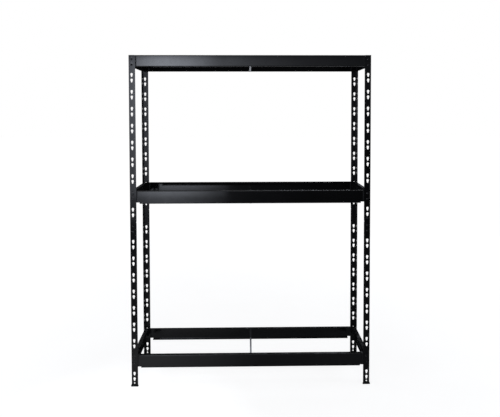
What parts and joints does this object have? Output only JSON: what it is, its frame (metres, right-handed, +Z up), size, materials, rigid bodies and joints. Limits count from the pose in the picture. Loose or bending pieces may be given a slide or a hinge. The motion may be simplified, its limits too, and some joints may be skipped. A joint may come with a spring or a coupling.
{
  "type": "tyre storage rack",
  "caption": "Boltless steel rack for storing tyres upright: angle posts with keyholes, channel beams hooked in on open levels, tie straps and plastic feet.",
  "frame": {"origin": "on the floor, at the centre of the rack's footprint", "axes": "+X along the width to the right, +Y to the rear, +Z up; the front long beams face -Y"},
  "size_m": [1.308, 0.408, 1.7975],
  "materials": {
    "powder_coat": "semi-gloss black powder coat",
    "rivet_steel": "semi-gloss black coated steel",
    "galvanised_strap": "zinc-coated sheet",
    "foot_plastic": "moulded, fine grain"
  },
  "bodies": {
    "frame": {"front_left_lower_post": "powder_coat", "front_right_lower_post": "powder_coat", "rear_left_lower_post": "powder_coat", "rear_right_lower_post": "powder_coat", "front_left_upper_post": "powder_coat", "front_right_upper_post": "powder_coat", "rear_left_upper_post": "powder_coat", "rear_right_upper_post": "powder_coat", "front_left_connector": "powder_coat", "front_right_connector": "powder_coat", "rear_left_connector": "powder_coat", "rear_right_connector": "powder_coat", "front_left_connector_rivets": "rivet_steel", "front_right_connector_rivets": "rivet_steel", "rear_left_connector_rivets": "rivet_steel", "rear_right_connector_rivets": "rivet_steel", "front_left_foot": "foot_plastic", "front_right_foot": "foot_plastic", "rear_left_foot": "foot_plastic", "rear_right_foot": "foot_plastic"},
    "top_long_beams": {"top_front_beam": "powder_coat", "top_rear_beam": "powder_coat", "top_long_beam_rivets": "rivet_steel", "top_tie_strap": "galvanised_strap"},
    "top_left_side": {"top_left_beam": "powder_coat", "top_left_beam_rivets": "rivet_steel"},
    "top_right_side": {"top_right_beam": "powder_coat", "top_right_beam_rivets": "rivet_steel"},
    "middle_long_beams": {"middle_front_beam": "powder_coat", "middle_rear_beam": "powder_coat", "middle_long_beam_rivets": "rivet_steel", "middle_tie_strap": "galvanised_strap"},
    "middle_left_side": {"middle_left_beam": "powder_coat", "middle_left_beam_rivets": "rivet_steel"},
    "middle_right_side": {"middle_right_beam": "powder_coat", "middle_right_beam_rivets": "rivet_steel"},
    "bottom_long_beams": {"bottom_front_beam": "powder_coat", "bottom_rear_beam": "powder_coat", "bottom_long_beam_rivets": "rivet_steel", "bottom_tie_strap": "galvanised_strap"},
    "bottom_left_side": {"bottom_left_beam": "powder_coat", "bottom_left_beam_rivets": "rivet_steel"},
    "bottom_right_side": {"bottom_right_beam": "powder_coat", "bottom_right_beam_rivets": "rivet_steel"}
  },
  "joints": [
    {"name": "top_long_beams_unhook", "type": "slide", "parent": "frame", "child": "top_long_beams", "axis": [0, 0, 1], "range_m": [0, 0.011]},
    {"name": "top_left_beam_unhook", "type": "slide", "parent": "frame", "child": "top_left_side", "axis": [0, 0, 1], "range_m": [0, 0.011]},
    {"name": "top_right_beam_unhook", "type": "slide", "parent": "frame", "child": "top_right_side", "axis": [0, 0, 1], "range_m": [0, 0.011]},
    {"name": "middle_long_beams_unhook", "type": "slide", "parent": "frame", "child": "middle_long_beams", "axis": [0, 0, 1], "range_m": [0, 0.011]},
    {"name": "middle_left_beam_unhook", "type": "slide", "parent": "frame", "child": "middle_left_side", "axis": [0, 0, 1], "range_m": [0, 0.011]},
    {"name": "middle_right_beam_unhook", "type": "slide", "parent": "frame", "child": "middle_right_side", "axis": [0, 0, 1], "range_m": [0, 0.011]},
    {"name": "bottom_long_beams_unhook", "type": "slide", "parent": "frame", "child": "bottom_long_beams", "axis": [0, 0, 1], "range_m": [0, 0.011]},
    {"name": "bottom_left_beam_unhook", "type": "slide", "parent": "frame", "child": "bottom_left_side", "axis": [0, 0, 1], "range_m": [0, 0.011]},
    {"name": "bottom_right_beam_unhook", "type": "slide", "parent": "frame", "child": "bottom_right_side", "axis": [0, 0, 1], "range_m": [0, 0.011]}
  ]
}
